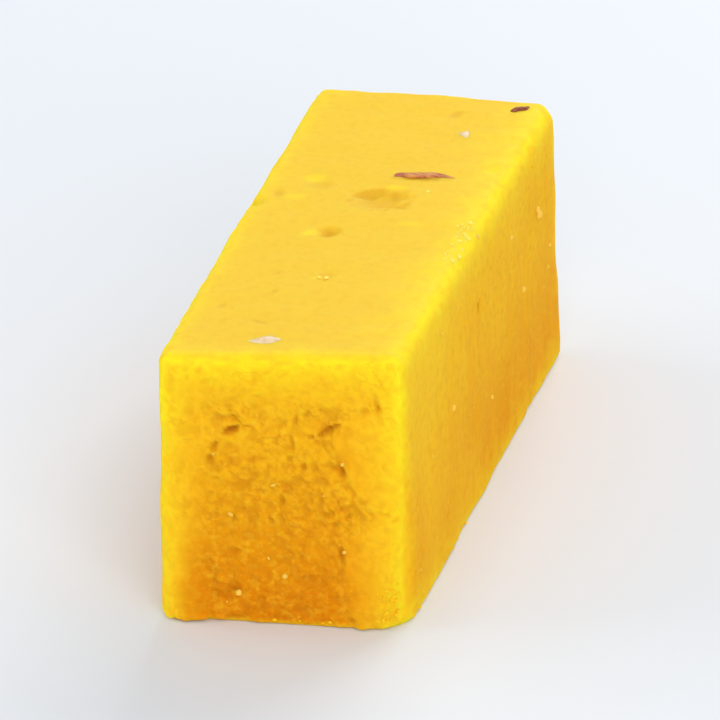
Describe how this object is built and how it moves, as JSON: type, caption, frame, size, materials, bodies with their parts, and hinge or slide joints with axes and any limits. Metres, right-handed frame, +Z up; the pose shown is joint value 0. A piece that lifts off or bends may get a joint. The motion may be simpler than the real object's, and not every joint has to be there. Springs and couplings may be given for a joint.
{
  "type": "besan chikki",
  "caption": "Knife-cut bar of a dense yellow gram-flour sweet with a smooth top, rough torn ends, and slivers of pistachio and pale chips of nut pressed into it.",
  "frame": {"origin": "middle of the bar's bounding box at its base, on the surface it lies on", "axes": "+Z up, +Y along the bar's length away from its near end, +X across it to the right as seen from the near end"},
  "size_m": [0.0257, 0.0656, 0.0285],
  "materials": {
    "besan": "satin, slightly waxy yellow fudge, translucent at its edges"
  },
  "bodies": {
    "root": {"besan_bar": "besan"}
  },
  "joints": []
}
